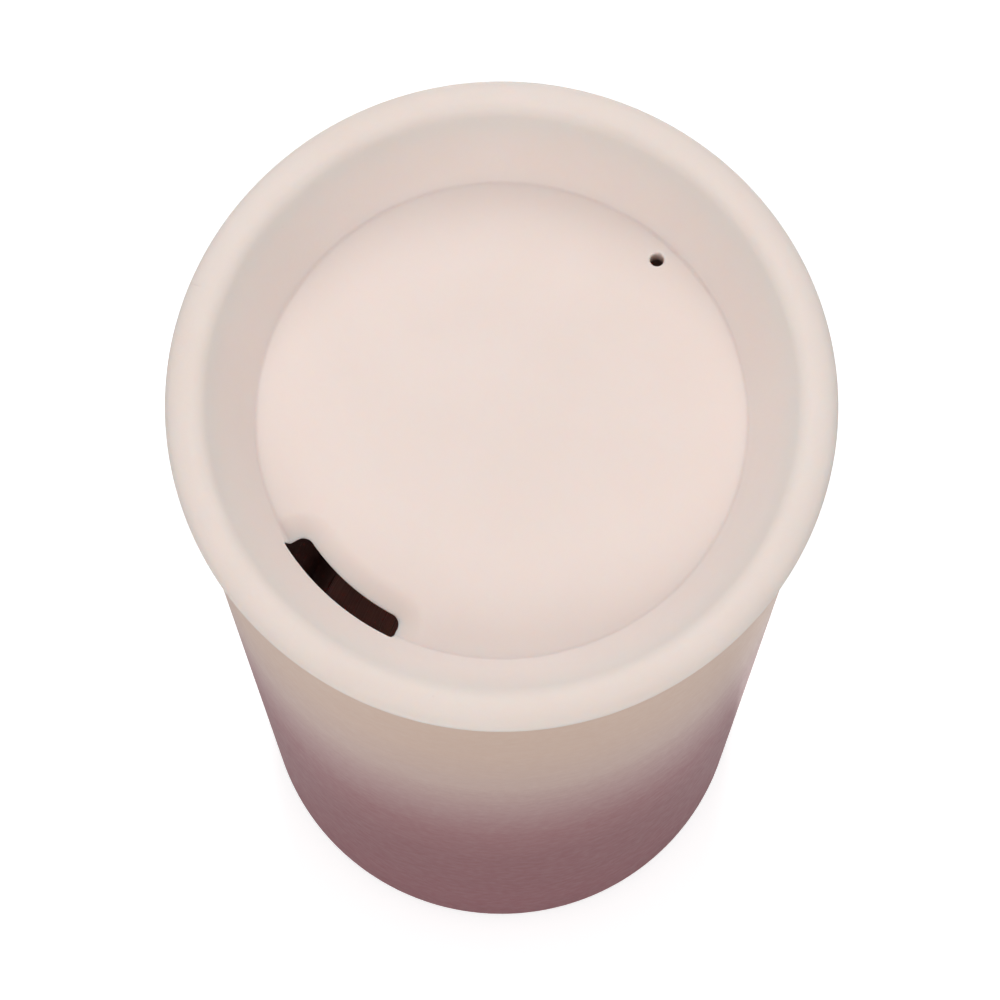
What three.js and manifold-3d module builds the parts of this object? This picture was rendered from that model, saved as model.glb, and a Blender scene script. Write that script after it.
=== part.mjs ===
// Insulated travel tumbler: a double-walled steel cup with a one-piece silicone lid.
// Units are millimetres, +Z is up, and the origin is the centre of the foot on the table.
// The drinking slot faces -Y and the vent hole faces +Y.
import * as THREE from "three";
import { mergeVertices } from "three/addons/utils/BufferGeometryUtils.js";
import Module from "manifold-3d";

const wasm = await Module();
wasm.setup();

// ---- driving dimensions -----------------------------------------------------------
const TOTAL_HEIGHT = 161; // table to the crest of the lid's bead
const GAP = 0.3; // room left between two pieces that touch
const ROUND_STEPS = 48; // facets round the large turned pieces
const SMALL_STEPS = 16; // facets round the small turned pieces

// tapered outer wall
const WALL_RADIUS_BASE = 33.65; // the wall's straight line carried down to the table
const WALL_RADIUS_RIM = 39.9;
const SHEET = 0.6; // steel thickness of both walls
const RIM_TOP = 158.8; // highest point of the steel rim
const RIM_HALF_WIDTH = 1.2; // the rim is a half-round of this radius
const RIM_WELD_ANGLE = 78; // degrees up the half-round where each wall's edge ends
const FOOT_FILLET = 2; // round where the wall turns under
const SHELL_LOWEST = 0.6; // the steel ring stays this far off the table
const RETURN_RADIUS = 29.6; // inner face of the steel ring under the foot
const RETURN_TOP = 5;
const RETURN_FILLET = 1;

// inner wall
const LINER_RADIUS_LOW = 30.6; // at LINER_LOW
const LINER_RADIUS_RIM = 37.5; // at the rim
const LINER_LOW = 14;
const LINER_FLOOR = 12; // height of the drink side of the floor
const LINER_CORNER = 5; // round between the floor and the wall, drawn with the wall
const LINER_SEAM_ANGLE = -62; // degrees round that corner where the floor disc is welded in

// parts in the vacuum space and under the foot
const FOIL_SHEET = 0.2;
const FOIL_LOW = 18.3;
const FOIL_TOP = 148;
const BOTTOM_PLATE_TOP = 4.6;
const DIMPLE_RADIUS = 5;
const DIMPLE_RISE = 1.8;
const PORT_RADIUS = 0.8; // hole through which the air is drawn out
const SEAL_RADIUS = 2; // glass bead that closes the port
const SEAL_DEPTH = 1.2;
const CAP_LOW = 2; // underside of the base cap
const CAP_SHEET = 0.5;
const CAP_FLANGE_TOP = 3.5;
const CAP_BEND = 0.8;
const PAD_RADIUS = 28.6;
const PAD_TOP = 1.7;
const PAD_GROOVES = [19, 25]; // middle radii of the grip grooves
const PAD_GROOVE_WIDTH = 1.2;
const PAD_GROOVE_DEPTH = 0.5;
const PAD_CHAMFER = 0.4;
const GETTER_OFFSET = 14; // from the axis to the getter
const GETTER_RADIUS = 4;
const GETTER_THICKNESS = 2.4;
const GETTER_CHAMFER = 0.4;
const CLIP_WIDTH = 4;
const CLIP_SHEET = 0.4;
const CLIP_TAB = 3;

// lid
const LID_RADIUS = 41.5;
const CREST_RADIUS = 38.5;
const CREST_DROP = 1.8; // from the crest down to the widest ring
const SHOULDER_RADIUS = 2.6; // round from the bead's top into the slope
const SLOPE_ANGLE = THREE.MathUtils.degToRad(56);
const DISC_RADIUS = 30.4;
const DISH_DEPTH = 9.5;
const DISC_THICKNESS = 3.5;
const DISC_FILLET = 0.7;
const LIP_RADIUS = 1.1;
const LIP_LOWEST = 156.5;
const LIP_SIDE = 41.2; // outer radius where the lip's round begins
const CHANNEL_TOP = 159.1; // the steel rim sits in a channel under the bead
const CHANNEL_SHOULDER = 1; // the plug narrows this far below the channel's top
const LIP_STEP = 0.2; // the lip's inner edge is this much higher than its lowest point
const PLUG_LOWEST = 144.5;
const PLUG_CHAMFER = 1;
const PLUG_BORE = 32.9;
const RIB_HEIGHTS = [147.2, 150.2, 153.2];
const RIB_DEPTH = 0.7;
const RIB_HALF_HEIGHT = 0.7;
const SLOT_INNER = 28.15;
const SLOT_OUTER = 31.4;
const SLOT_HALF_ANGLE = THREE.MathUtils.degToRad(16.9);
const SLOT_CORNER = 1.1;
const RECESS_MARGIN = 2.1;
const RECESS_DEPTH = 0.8;
const RECESS_OVERLAP = 1; // the recess stops this far short of the slot's outer wall
const CUT_SPARE = 1; // how far a cutting tool runs past the face it cuts
const VENT_RADIUS = 0.9;
const VENT_OFFSET = 28.1;

const SLOT_DIRECTION = -Math.PI / 2;
const RIM_START = RIM_TOP - RIM_HALF_WIDTH;
const WALL_SLOPE = (WALL_RADIUS_RIM - WALL_RADIUS_BASE) / RIM_START;
const LINER_SLOPE = (LINER_RADIUS_RIM - LINER_RADIUS_LOW) / (RIM_START - LINER_LOW);
const RIM_MIDDLE = (WALL_RADIUS_RIM + LINER_RADIUS_RIM) / 2;
const DISC_TOP = TOTAL_HEIGHT - DISH_DEPTH;
const DISC_LOW = DISC_TOP - DISC_THICKNESS;
const STEEL_EDGE = RETURN_RADIUS - GAP; // radius of the round pieces inside the steel ring

const wallRadius = (z) => WALL_RADIUS_BASE + WALL_SLOPE * z;
const linerRadius = (z) => LINER_RADIUS_LOW + LINER_SLOPE * (z - LINER_LOW);
const CORNER_HEIGHT = LINER_FLOOR + LINER_CORNER;
const CORNER_CENTRE = linerRadius(CORNER_HEIGHT) - LINER_CORNER;

// ---- materials ----------------------------------------------------------------------
const finish = (color, roughness, metalness) =>
  new THREE.MeshStandardMaterial({ color, roughness, metalness });
const SILICONE = finish(0xe9dcd4, 0.62, 0);
const PAINT = finish(0xb59a93, 0.38, 0.25);
const STEEL = finish(0xb9bcc0, 0.3, 1);
const COPPER = finish(0xc77b54, 0.25, 1);
const GETTER = finish(0x5b5c60, 0.7, 0.6);
const GLASS_FRIT = finish(0x4b4f55, 0.25, 0);
const PAD = finish(0xcdbab0, 0.75, 0);

// ---- profile helpers, in the (radius, height) half-plane -------------------------------
function arc(radius, height, size, from, to, steps) {
  const points = [];
  for (let i = 0; i <= steps; i += 1) {
    const angle = THREE.MathUtils.degToRad(from + ((to - from) * i) / steps);
    points.push([radius + size * Math.cos(angle), height + size * Math.sin(angle)]);
  }
  return points;
}

// A bent sheet of even thickness. The path is one of its faces, with the metal on its left.
function sheet(path, thickness) {
  const other = path.map(([x, y], i) => {
    const [ax, ay] = path[Math.max(i - 1, 0)];
    const [bx, by] = path[Math.min(i + 1, path.length - 1)];
    const length = Math.hypot(bx - ax, by - ay);
    return [x - (thickness * (by - ay)) / length, y + (thickness * (bx - ax)) / length];
  });
  return [...path, ...other.reverse()];
}

// Turns a profile round +Z. The profile runs with the material on its left.
function turned(profile, steps = ROUND_STEPS) {
  const onAxis = (point) => Math.abs(point[0]) < 1e-9;
  const closed = onAxis(profile[0]) && onAxis(profile[profile.length - 1]);
  const points = (closed ? profile : [...profile, profile[0]]).map(
    ([x, y]) => new THREE.Vector2(x, y),
  );
  return new THREE.LatheGeometry(points, steps).rotateX(Math.PI / 2);
}

// ---- solids -----------------------------------------------------------------------------
function solid(geometry) {
  const bare = geometry.clone();
  bare.deleteAttribute("normal");
  bare.deleteAttribute("uv");
  const merged = mergeVertices(bare, 1e-4);
  const body = new wasm.Manifold(
    new wasm.Mesh({
      numProp: 3,
      vertProperties: new Float32Array(merged.attributes.position.array),
      triVerts: new Uint32Array(merged.index.array),
    }),
  );
  if (body.volume() < 0) throw new Error("a solid is inside out");
  return body;
}

function geometryOf(body) {
  const mesh = body.getMesh();
  const geometry = new THREE.BufferGeometry();
  geometry.setAttribute("position", new THREE.BufferAttribute(mesh.vertProperties, 3));
  geometry.setIndex(new THREE.BufferAttribute(mesh.triVerts, 1));
  geometry.computeVertexNormals();
  return geometry;
}

function prism(shape, low, high) {
  const geometry = new THREE.ExtrudeGeometry(shape, {
    depth: high - low,
    bevelEnabled: false,
    curveSegments: 8,
  });
  return geometry.translate(0, 0, low);
}

// A ring sector about the slot's direction, with its two inner corners rounded.
function sector(inner, outer, halfAngle, corner) {
  const shape = new THREE.Shape();
  const turn = corner / inner;
  const at = (radius, angle) => [
    radius * Math.cos(SLOT_DIRECTION + angle),
    radius * Math.sin(SLOT_DIRECTION + angle),
  ];
  shape.moveTo(...at(outer, -halfAngle));
  shape.absarc(0, 0, outer, SLOT_DIRECTION - halfAngle, SLOT_DIRECTION + halfAngle, false);
  shape.lineTo(...at(inner + corner, halfAngle));
  shape.quadraticCurveTo(...at(inner, halfAngle), ...at(inner, halfAngle - turn));
  shape.absarc(
    0, 0, inner,
    SLOT_DIRECTION + halfAngle - turn, SLOT_DIRECTION - halfAngle + turn, true,
  );
  shape.quadraticCurveTo(...at(inner, -halfAngle), ...at(inner + corner, -halfAngle));
  shape.closePath();
  return shape;
}

// ---- the pieces ----------------------------------------------------------------------------
function outerShell() {
  const footHeight = SHELL_LOWEST + FOOT_FILLET;
  const ringHeight = SHELL_LOWEST + RETURN_FILLET;
  const path = [
    ...arc(RIM_MIDDLE, RIM_START, RIM_HALF_WIDTH, RIM_WELD_ANGLE, 0, 4),
    ...arc(wallRadius(footHeight) - FOOT_FILLET, footHeight, FOOT_FILLET, 0, -90, 4),
    ...arc(RETURN_RADIUS + RETURN_FILLET, ringHeight, RETURN_FILLET, -90, -180, 2),
    [RETURN_RADIUS, RETURN_TOP],
  ];
  return turned(sheet(path.reverse(), SHEET));
}

function linerWall() {
  const seam = LINER_SEAM_ANGLE + THREE.MathUtils.radToDeg(GAP / LINER_CORNER);
  const path = [
    ...arc(CORNER_CENTRE, CORNER_HEIGHT, LINER_CORNER, seam, 0, 3),
    ...arc(RIM_MIDDLE, RIM_START, RIM_HALF_WIDTH, 180, 180 - RIM_WELD_ANGLE, 4),
  ];
  return turned(sheet(path.reverse(), SHEET));
}

// A disc whose edge turns up a little to meet the wall's corner.
function linerBottom() {
  const edge = (size) => arc(CORNER_CENTRE, CORNER_HEIGHT, size, -90, LINER_SEAM_ANGLE, 2);
  return turned([
    [0, LINER_FLOOR - SHEET],
    ...edge(LINER_CORNER + SHEET),
    ...edge(LINER_CORNER).reverse(),
    [0, LINER_FLOOR],
  ]);
}

function copperFoil() {
  const inside = SHEET + GAP;
  return turned([
    [linerRadius(FOIL_LOW) + inside, FOIL_LOW],
    [linerRadius(FOIL_LOW) + inside + FOIL_SHEET, FOIL_LOW],
    [linerRadius(FOIL_TOP) + inside + FOIL_SHEET, FOIL_TOP],
    [linerRadius(FOIL_TOP) + inside, FOIL_TOP],
  ]);
}

function outerBottom() {
  const low = BOTTOM_PLATE_TOP - SHEET;
  return turned([
    [PORT_RADIUS, low + DIMPLE_RISE],
    [DIMPLE_RADIUS - DIMPLE_RISE, low + DIMPLE_RISE],
    [DIMPLE_RADIUS, low],
    [STEEL_EDGE, low],
    [STEEL_EDGE, BOTTOM_PLATE_TOP],
    [DIMPLE_RADIUS + SHEET, BOTTOM_PLATE_TOP],
    [DIMPLE_RADIUS + SHEET - DIMPLE_RISE, BOTTOM_PLATE_TOP + DIMPLE_RISE],
    [PORT_RADIUS, BOTTOM_PLATE_TOP + DIMPLE_RISE],
  ]);
}

// The bead of glass that closes the port: a dome in the dimple, with a neck in the hole.
function sealBead() {
  const ceiling = BOTTOM_PLATE_TOP - SHEET + DIMPLE_RISE - GAP;
  const neck = PORT_RADIUS - GAP;
  const dome = arc(0, 0, 1, -90, 0, 4).map(([x, y]) => [
    x * SEAL_RADIUS,
    ceiling + y * SEAL_DEPTH,
  ]);
  dome[0][0] = 0;
  const top = BOTTOM_PLATE_TOP + DIMPLE_RISE;
  return turned([...dome, [neck, ceiling], [neck, top], [0, top]], SMALL_STEPS);
}

function getterPill() {
  const low = BOTTOM_PLATE_TOP + GAP;
  return turned(
    [
      [0, low],
      [GETTER_RADIUS - GETTER_CHAMFER, low],
      [GETTER_RADIUS, low + GETTER_CHAMFER],
      [GETTER_RADIUS, low + GETTER_THICKNESS - GETTER_CHAMFER],
      [GETTER_RADIUS - GETTER_CHAMFER, low + GETTER_THICKNESS],
      [0, low + GETTER_THICKNESS],
    ],
    SMALL_STEPS,
  );
}

// A hat-shaped strap over the pill, with a tab on each side for the spot weld.
function getterClip() {
  const low = BOTTOM_PLATE_TOP + GAP;
  const half = GETTER_RADIUS + GAP;
  const roof = low + GETTER_THICKNESS + GAP;
  const corners = [
    [half + CLIP_SHEET + CLIP_TAB, low],
    [half + CLIP_SHEET + CLIP_TAB, low + CLIP_SHEET],
    [half + CLIP_SHEET, low + CLIP_SHEET],
    [half + CLIP_SHEET, roof + CLIP_SHEET],
    [-half - CLIP_SHEET, roof + CLIP_SHEET],
    [-half - CLIP_SHEET, low + CLIP_SHEET],
    [-half - CLIP_SHEET - CLIP_TAB, low + CLIP_SHEET],
    [-half - CLIP_SHEET - CLIP_TAB, low],
    [-half, low],
    [-half, roof],
    [half, roof],
    [half, low],
  ];
  const shape = new THREE.Shape(corners.map(([x, y]) => new THREE.Vector2(x, y)));
  return prism(shape, -CLIP_WIDTH / 2, CLIP_WIDTH / 2).rotateX(Math.PI / 2);
}

function baseCap() {
  return turned([
    [0, CAP_LOW],
    ...arc(STEEL_EDGE - CAP_BEND, CAP_LOW + CAP_BEND, CAP_BEND, -90, 0, 3),
    [STEEL_EDGE, CAP_FLANGE_TOP],
    [STEEL_EDGE - CAP_SHEET, CAP_FLANGE_TOP],
    [STEEL_EDGE - CAP_SHEET, CAP_LOW + CAP_BEND],
    [STEEL_EDGE - CAP_BEND, CAP_LOW + CAP_SHEET],
    [0, CAP_LOW + CAP_SHEET],
  ]);
}

function basePad() {
  const profile = [[0, 0]];
  for (const middle of PAD_GROOVES) {
    const half = PAD_GROOVE_WIDTH / 2;
    profile.push([middle - half, 0], [middle - half, PAD_GROOVE_DEPTH]);
    profile.push([middle + half, PAD_GROOVE_DEPTH], [middle + half, 0]);
  }
  profile.push([PAD_RADIUS - PAD_CHAMFER, 0], [PAD_RADIUS, PAD_CHAMFER]);
  profile.push([PAD_RADIUS, PAD_TOP], [0, PAD_TOP]);
  return turned(profile);
}

function lidProfile() {
  const shoulder = TOTAL_HEIGHT - SHOULDER_RADIUS;
  const slopeDegrees = THREE.MathUtils.radToDeg(SLOPE_ANGLE);
  const crown = arc(0, 0, 1, 0, 90, 5).map(([x, y]) => [
    CREST_RADIUS + x * (LID_RADIUS - CREST_RADIUS),
    TOTAL_HEIGHT - CREST_DROP + y * CREST_DROP,
  ]);
  const channelOuter = WALL_RADIUS_RIM + GAP;
  const plugAt = (z) => linerRadius(z) - GAP;
  const neck = CHANNEL_TOP - CHANNEL_SHOULDER;
  const ribs = [];
  for (const middle of RIB_HEIGHTS) {
    ribs.push([plugAt(middle - RIB_HALF_HEIGHT) - RIB_DEPTH, middle - RIB_HALF_HEIGHT]);
    ribs.push([plugAt(middle), middle]);
    ribs.push([plugAt(middle + RIB_HALF_HEIGHT) - RIB_DEPTH, middle + RIB_HALF_HEIGHT]);
  }
  return [
    [0, DISC_LOW],
    [PLUG_BORE, DISC_LOW],
    [PLUG_BORE, PLUG_LOWEST],
    [plugAt(PLUG_LOWEST) - RIB_DEPTH - PLUG_CHAMFER, PLUG_LOWEST],
    [plugAt(PLUG_LOWEST) - RIB_DEPTH, PLUG_LOWEST + PLUG_CHAMFER],
    ...ribs,
    [plugAt(neck) - GAP, neck],
    [plugAt(neck) - GAP, CHANNEL_TOP],
    [channelOuter, CHANNEL_TOP],
    [channelOuter, LIP_LOWEST + LIP_STEP],
    ...arc(LIP_SIDE - LIP_RADIUS, LIP_LOWEST + LIP_RADIUS, LIP_RADIUS, -90, 0, 3),
    ...crown,
    ...arc(CREST_RADIUS, shoulder, SHOULDER_RADIUS, 90, 90 + slopeDegrees, 4).slice(1),
    ...arc(DISC_RADIUS, DISC_TOP + DISC_FILLET, DISC_FILLET, slopeDegrees - 90, -90, 2),
    [0, DISC_TOP],
  ];
}

function lid() {
  const cutTop = DISC_TOP + CUT_SPARE;
  const margin = RECESS_MARGIN / SLOT_INNER;
  const slot = sector(SLOT_INNER, SLOT_OUTER, SLOT_HALF_ANGLE, SLOT_CORNER);
  const recess = sector(
    SLOT_INNER - RECESS_MARGIN,
    SLOT_OUTER - RECESS_OVERLAP,
    SLOT_HALF_ANGLE + margin,
    SLOT_CORNER + RECESS_MARGIN,
  );
  const vent = new THREE.CylinderGeometry(VENT_RADIUS, VENT_RADIUS, 2 * DISC_THICKNESS, 24);
  vent.rotateX(Math.PI / 2).translate(0, VENT_OFFSET, DISC_TOP - DISC_THICKNESS / 2);
  const body = solid(turned(lidProfile()))
    .subtract(solid(prism(slot, DISC_LOW - CUT_SPARE, cutTop)))
    .subtract(solid(prism(recess, DISC_TOP - RECESS_DEPTH, cutTop)))
    .subtract(solid(vent));
  return geometryOf(body);
}

// ---- the assembly ------------------------------------------------------------------------------
function piece(name, geometry, material) {
  const mesh = new THREE.Mesh(geometry, material);
  mesh.name = name;
  return mesh;
}

const cup = new THREE.Group();
cup.add(
  piece("outer_shell", outerShell(), PAINT),
  piece("liner_wall", linerWall(), STEEL),
  piece("liner_bottom", linerBottom(), STEEL),
  piece("copper_foil", copperFoil(), COPPER),
  piece("outer_bottom", outerBottom(), STEEL),
  piece("vacuum_seal_bead", sealBead(), GLASS_FRIT),
  piece("base_cap", baseCap(), STEEL),
  piece("base_pad", basePad(), PAD),
);

const getter = new THREE.Group();
getter.position.x = GETTER_OFFSET;
getter.add(
  piece("getter_pill", getterPill(), GETTER),
  piece("getter_clip", getterClip(), STEEL),
);
cup.add(getter);

const tumbler = new THREE.Group();
tumbler.add(cup, piece("lid", lid(), SILICONE));

export default tumbler;
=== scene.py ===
"""Insulated travel tumbler with a press-on silicone lid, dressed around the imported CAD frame.

The slot faces -Y and the vent +Y. Outlines are drawn in millimetres and scaled once, in MM.
"""

import math

import bmesh
import bpy
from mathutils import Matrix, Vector, noise


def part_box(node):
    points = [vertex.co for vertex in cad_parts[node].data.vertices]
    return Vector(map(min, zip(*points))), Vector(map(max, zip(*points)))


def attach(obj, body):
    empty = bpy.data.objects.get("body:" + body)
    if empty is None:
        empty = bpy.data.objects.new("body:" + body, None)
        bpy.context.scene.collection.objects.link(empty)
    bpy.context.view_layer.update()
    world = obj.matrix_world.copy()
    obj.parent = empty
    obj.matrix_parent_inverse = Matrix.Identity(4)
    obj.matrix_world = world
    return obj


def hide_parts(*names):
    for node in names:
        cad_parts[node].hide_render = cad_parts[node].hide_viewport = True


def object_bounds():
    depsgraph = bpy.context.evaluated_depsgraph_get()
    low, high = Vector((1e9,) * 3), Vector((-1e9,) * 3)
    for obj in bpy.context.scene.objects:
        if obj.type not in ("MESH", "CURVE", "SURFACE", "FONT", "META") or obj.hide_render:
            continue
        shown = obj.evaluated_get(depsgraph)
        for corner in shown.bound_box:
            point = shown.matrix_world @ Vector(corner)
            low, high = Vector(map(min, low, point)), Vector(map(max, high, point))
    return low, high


MM = 0.001
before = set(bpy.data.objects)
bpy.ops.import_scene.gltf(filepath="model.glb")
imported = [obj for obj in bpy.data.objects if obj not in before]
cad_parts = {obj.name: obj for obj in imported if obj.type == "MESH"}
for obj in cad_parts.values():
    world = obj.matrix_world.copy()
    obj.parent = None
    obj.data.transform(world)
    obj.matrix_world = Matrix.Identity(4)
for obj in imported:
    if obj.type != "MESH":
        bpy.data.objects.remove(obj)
cad_low, cad_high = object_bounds()


def box_mm(node):
    """Outer radius, lowest and highest height of a turned CAD node, in millimetres."""
    low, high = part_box(node)
    return high[0] / MM, low[2] / MM, high[2] / MM


# ---- sizes taken from the frame --------------------------------------------------------
LID_RADIUS, PLUG_LOW, TOP = box_mm("lid")
SHELL_RADIUS, SHELL_LOW, RIM_TOP = box_mm("outer_shell")
_, LINER_BOTTOM_LOW, _ = box_mm("liner_bottom")
CAP_RADIUS, CAP_LOW, CAP_TOP = box_mm("base_cap")
PAD_RADIUS, PAD_LOW, PAD_TOP = box_mm("base_pad")

# ---- sizes of the cup, in millimetres ----------------------------------------------------
GAP = 0.3  # room left between two pieces that touch
TINY = 1e-6  # lengths that differ by less than this are the same
SHEET = 0.6  # steel thickness
DRAWN_SHEET = SHEET - 0.02  # both walls are drawn a hair thinner
RIM_HALF = 1.2  # the rim is a half-round of this radius
RIM_WELD_DEG = 86  # how far up the half-round each wall's edge reaches
RIM_START = RIM_TOP - RIM_HALF
PAINT_TOP = RIM_START - 0.2  # the paint stops here, under the lid's lip
WALL_BASE_RADIUS = 33.65
WALL_SLOPE = (SHELL_RADIUS - WALL_BASE_RADIUS) / RIM_START
FOOT_FILLET = 2.0
RETURN_RADIUS = CAP_RADIUS + GAP  # inner face of the steel ring under the foot
RETURN_HEIGHTS = (5.0, 3.5)  # that face's upper edge, and a loop half way down it
RETURN_FILLET = 1.0
LINER_RIM_RADIUS = SHELL_RADIUS - 2 * RIM_HALF
LINER_LOW_RADIUS = 30.6
LINER_LOW_HEIGHT = 14.0
LINER_SLOPE = (LINER_RIM_RADIUS - LINER_LOW_RADIUS) / (RIM_START - LINER_LOW_HEIGHT)
LINER_CORNER = 5.0
LINER_FLOOR = LINER_BOTTOM_LOW + SHEET
LINER_SEAM_DEG = -60  # round the corner from the wall to the weld of the floor disc
WELD_DEG = 2  # room for that weld, round the corner
FLOOR_RISE = [  # (radius, rise): the middle of the liner's floor is pressed up a little
    (0, 0.3), (6, 0.3), (12, 0.3), (15.6, 0.25), (16.4, 0), (18, 0), (22, 0),
]
CAP_BEND = 0.8
CAP_SHEET = 0.5
CAP_INNER_BEND = 0.5  # the cap is drawn thinner at the bend
CAP_BREAK = 0.1  # the edge of the cap's flange is broken by this much
CAP_RINGS = (0, 6, 12, 20)  # radii of the rings on its flat underside
PAD_RINGS = (0, 6, 12, 16)
PAD_GROOVES = (19.0, 25.0)  # middle radii of the grip grooves
GROOVE_HALF = 0.6
GROOVE_DEPTH = 0.5
GROOVE_ROUND = 0.12
PAD_LOW_ROUND = 0.4
PAD_TOP_ROUND = 0.15

# ---- sizes of the lid, in millimetres ----------------------------------------------------
CREST_RADIUS = 38.5
CREST_DROP = 1.8  # from the crest down to the widest ring
SHOULDER = 2.6  # round from the bead's top into the slope
SLOPE_DEG = 56.0
SLOPE_CROWN = 0.5  # the slope bulges by this much half way down
SLOPE_END = 32.4  # the fine rings round the slot begin inside this radius
DISC_RADIUS = 30.4
DISC_FILLET = 0.5
DISC = TOP - 9.5
DISC_UNDER = DISC - 3.5
LIP_LOW = 156.5
LIP_ROUND = 1.1
LIP_SIDE = LID_RADIUS - 0.3
LIP_INNER_ROUND = 0.25
LIP_STEP = 0.1  # the lip's inner edge is this much higher than its lowest point
LIP_FLANK = (0.13, 1.8)  # a point of the lip's side: outwards of LIP_SIDE, and above LIP_LOW
PLUG_BORE = 32.9
BORE_ROUND = 0.4
PLUG_END_ROUND = 0.5
PLUG_SHOULDER = 0.8
PLUG_INSET = 1.2  # the shoulder's centre lies this far inside the plug's sealing radius
RIB_HEIGHTS = (147.2, 150.2, 153.2)
RIB_ROOT = 0.7  # depth of the plug between the ribs
RIB_HALF = 0.75
RIB_ROUND = 0.6
RIB_SQUASH = 0.8  # height of a rib's round over its depth
NECK = 156.8  # the plug narrows here, towards the channel
NECK_INSET = 0.4
CHANNEL_TOP = 159.1  # the steel rim sits in a channel under the bead
CHANNEL_SIDE = 157.8  # height at which the channel's inner side is measured
CHANNEL_INSET = 0.2
CHANNEL_ROUND = 0.6

SLOT_MIDDLE = 29.78  # radius of the slot's middle line
SLOT_HALF_WIDTH = 1.63
SLOT_HALF_LENGTH = 8.6
SLOT_INNER_CORNER = 1.4
SLOT_OUTER_CORNER = 0.25
SLOT_FLARE = 0.95  # the slot widens this much towards the underside, inwards and at its ends
RECESS_WIDTH = 3.1
RECESS_DEPTH = 1.15
RECESS_SOFTNESS = 0.12  # roundness of the recess's upper edge, as a share of its width
RECESS_REACH = (15, 8)  # nothing sinks further than this along the slot, or inwards of it
RECESS_FADE = (30.3, 0.9)  # the recess ends from this radius outwards, over this width
VENT_RADIUS = 0.9
VENT_MIDDLE = 28.4
EDGE_ROUND = 0.22  # soft edge of the slot and the vent

SLOT_ANGLE = math.radians(-89.2)
VENT_ANGLE = math.radians(90)
NICK_ANGLE = math.radians(-157.9)  # a small mould mark on the bead
NICK_RADIUS = 40.6
NICK_HALF_LENGTH = 0.7
NICK_HALF_WIDTH = 0.09
NICK_DEPTH = 0.10
NICK_REACH = 2.2  # no lower under the crest than this
RIPPLE_DEPTH = 0.035  # unevenness of the soft moulding, on the bead and the slope
RIPPLE_SCALE = 0.055  # waves in a millimetre
RIPPLE_START = 33  # from this radius outwards, over RIPPLE_BLEND
RIPPLE_BLEND = 4

# ---- how finely the lid is meshed ------------------------------------------------------
DISC_RADII = [0, 5, 10, 15, 20]
PATCH_RADII = (
    [21.6, 22.3, 22.9, 23.4, 23.9, 24.4, 24.8, 25.2, 25.6] + [26.0 + 0.3 * i for i in range(14)]
    + [30.2 + 0.12 * i for i in range(10)] + [31.5, 31.8, 32.1]
)
KEPT_ROWS = (30.2, 31.16)  # rows at the foot of the slope run straight into the slot's ends
SLOT_PATCH = (11.2, 26.0, 32.1)  # half length, inner and outer radius of the mesh round the slot
VENT_PATCH = (2.2, 26.0, 30.2)
FINE_COLUMNS = [  # in order round the lid: middle, then half width and step in degrees
    (NICK_ANGLE, 0.8, 0.1), (SLOT_ANGLE, 24.0, 0.5), (VENT_ANGLE, 5.0, 0.5),
]
COARSE_STEP = 1.6  # degrees from column to column elsewhere
PATCH_RINGS = 12
PATCH_CLOSING = 0.75  # under 1, the rings of a patch close in on the opening
EDGE_RINGS = 4
WALL_RINGS = 6

# ---- the studio, in metres, degrees and watts --------------------------------------------
CAMERA_AZIMUTH = 43.2
CAMERA_ELEVATION = 75.4
CAMERA_DISTANCE = 0.797
CAMERA_LENS = 233.4
CAMERA_DROP = 0.0125  # the axis of view passes this far below the lid's crest, across the view
CAMERA_SIDE = -0.0002
HORIZON_LIGHT = 0.11
ZENITH_LIGHT = 0.91
FLOOR_LIFT = 0.55  # light added to the floor where the camera looks straight at it
FLOOR_HALF = 3.0
FLOOR_DROP = 0.0005  # the floor lies this far under the foot
LAMP_DISTANCE = 1.5
LAMP_SIZE = 0.6
LAMP_AIM = 0.1  # the height that the lamps point at
BOUNCE_OFFSET = 0.048  # from the axis to the light that the table throws back
BOUNCE_HEIGHT = 0.001
BOUNCE_SIZE = 0.024
BOUNCE_WATTS = 0.0022
LID_GLOW_HEIGHT = 0.147  # just under the disc, for light soaked through the silicone
LID_GLOW_SIZE = 0.056
LID_GLOW_WATTS = 0.0009


def smooth(x):
    x = min(max(x, 0.0), 1.0)
    return x * x * (3 - 2 * x)


def turn_between(a, b):
    """The angle from b to a, from -pi to pi."""
    return (a - b + math.pi) % (2 * math.pi) - math.pi


def liner_radius(z):
    return LINER_LOW_RADIUS + LINER_SLOPE * (z - LINER_LOW_HEIGHT)


def wall_radius(z):
    return WALL_BASE_RADIUS + WALL_SLOPE * z


# ---- outlines, as (radius, height) points ---------------------------------------------------
def arc(r, z, size, start, end, steps, squash=1.0):
    """Points on a round of the given size about (r, z), from start to end in degrees."""
    points = []
    for i in range(steps + 1):
        a = math.radians(start + (end - start) * i / steps)
        points.append((r + size * math.cos(a), z + size * squash * math.sin(a)))
    return points


def line(start, end, steps):
    """Points from start to end, without the end."""
    return [
        (start[0] + (end[0] - start[0]) * i / steps, start[1] + (end[1] - start[1]) * i / steps)
        for i in range(steps)
    ]


def sheet_profile(path, thickness):
    """A bent sheet whose one face is the path, with the metal on the path's left."""
    other = []
    for i, (x, y) in enumerate(path):
        ax, ay = path[max(i - 1, 0)]
        bx, by = path[min(i + 1, len(path) - 1)]
        length = math.hypot(bx - ax, by - ay)
        other.append((x - thickness * (by - ay) / length, y + thickness * (bx - ax) / length))
    return path + other[::-1]


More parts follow.
